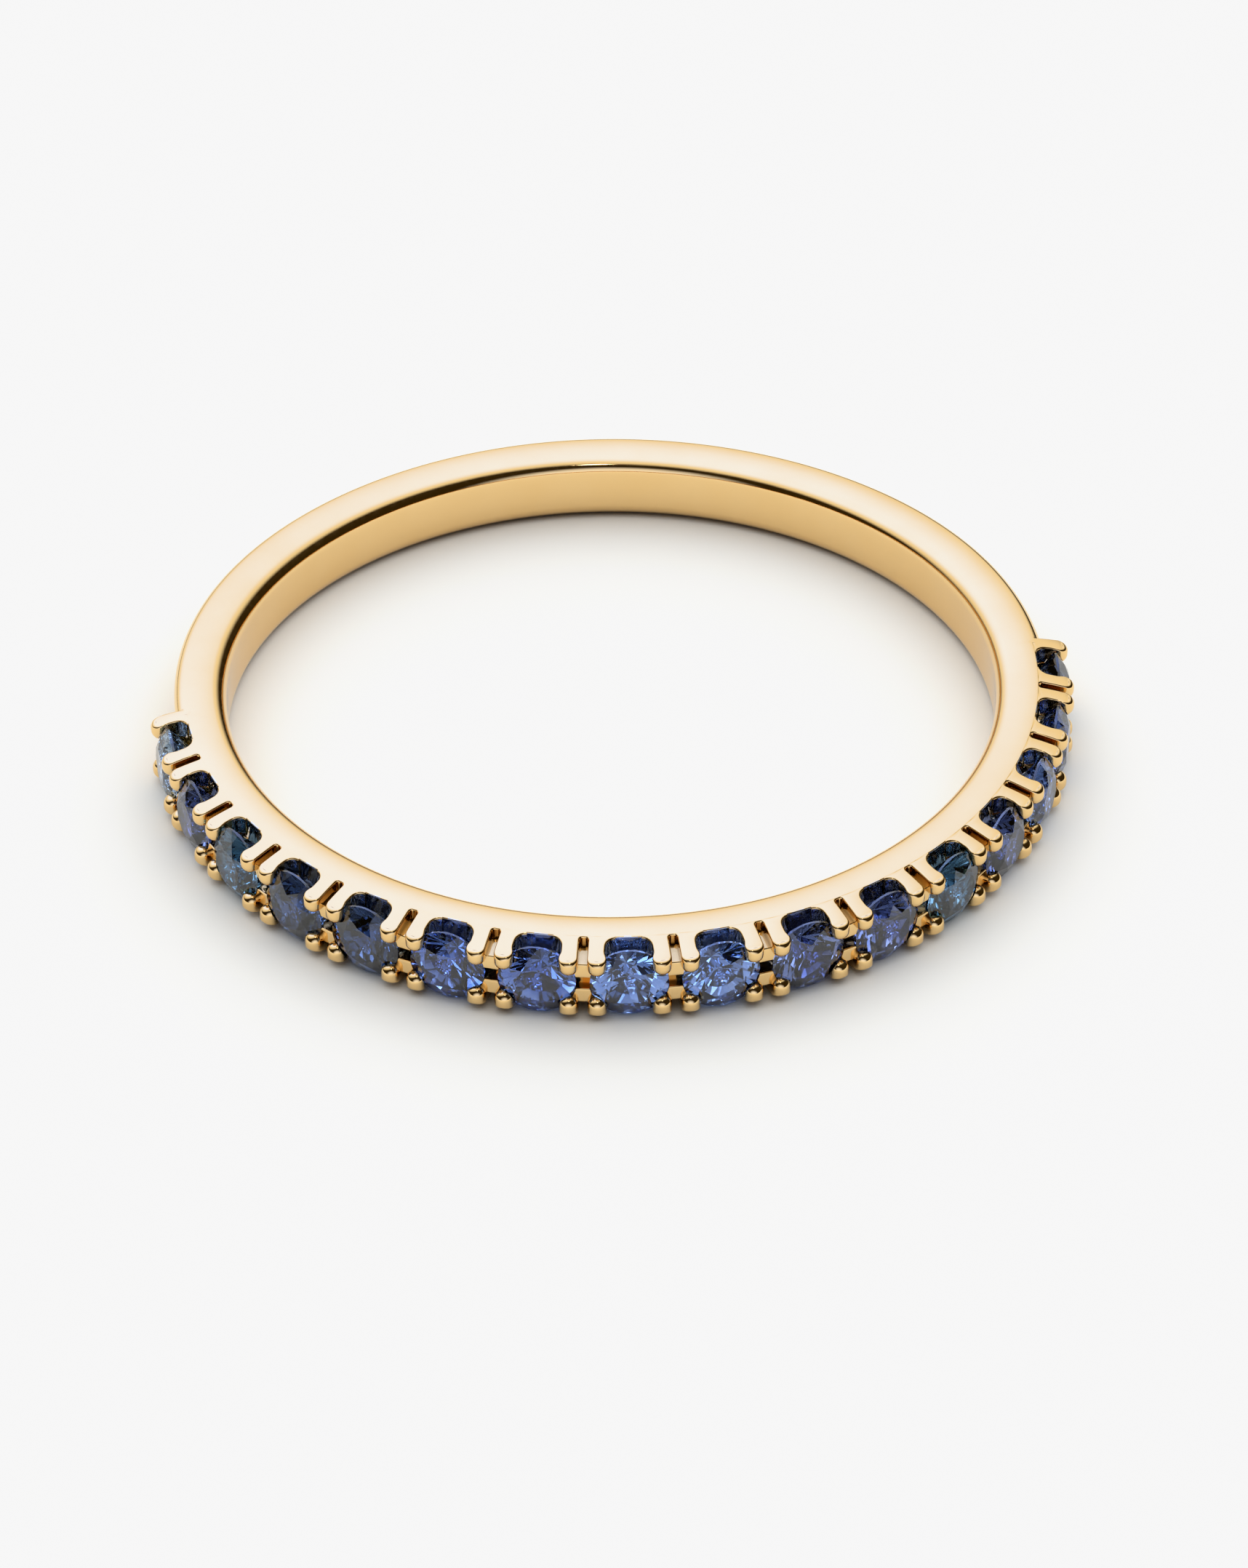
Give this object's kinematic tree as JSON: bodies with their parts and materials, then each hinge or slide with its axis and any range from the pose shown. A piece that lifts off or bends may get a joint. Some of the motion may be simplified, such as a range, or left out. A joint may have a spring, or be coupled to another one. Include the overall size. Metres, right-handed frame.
{
  "type": "half eternity ring",
  "caption": "Slim finger ring with one row of round brilliant stones in cut-down prongs over half of its outside and a plain shank behind.",
  "frame": {"origin": "centre of the finger hole, at the middle of the ring's width", "axes": "+Z along the finger hole, up as the ring lies on its side; the middle of the row of stones faces -Y and the back of the shank is at +Y"},
  "size_m": [0.0208, 0.0203, 0.0018],
  "materials": {
    "gold": "mirror polished yellow gold",
    "sapphire": "faceted and polished blue sapphire"
  },
  "bodies": {
    "root": {"band": "gold", "stone_01": "sapphire", "stone_02": "sapphire", "stone_03": "sapphire", "stone_04": "sapphire", "stone_05": "sapphire", "stone_06": "sapphire", "stone_07": "sapphire", "stone_08": "sapphire", "stone_09": "sapphire", "stone_10": "sapphire", "stone_11": "sapphire", "stone_12": "sapphire", "stone_13": "sapphire", "stone_14": "sapphire", "stone_15": "sapphire", "stone_16": "sapphire"}
  },
  "joints": []
}
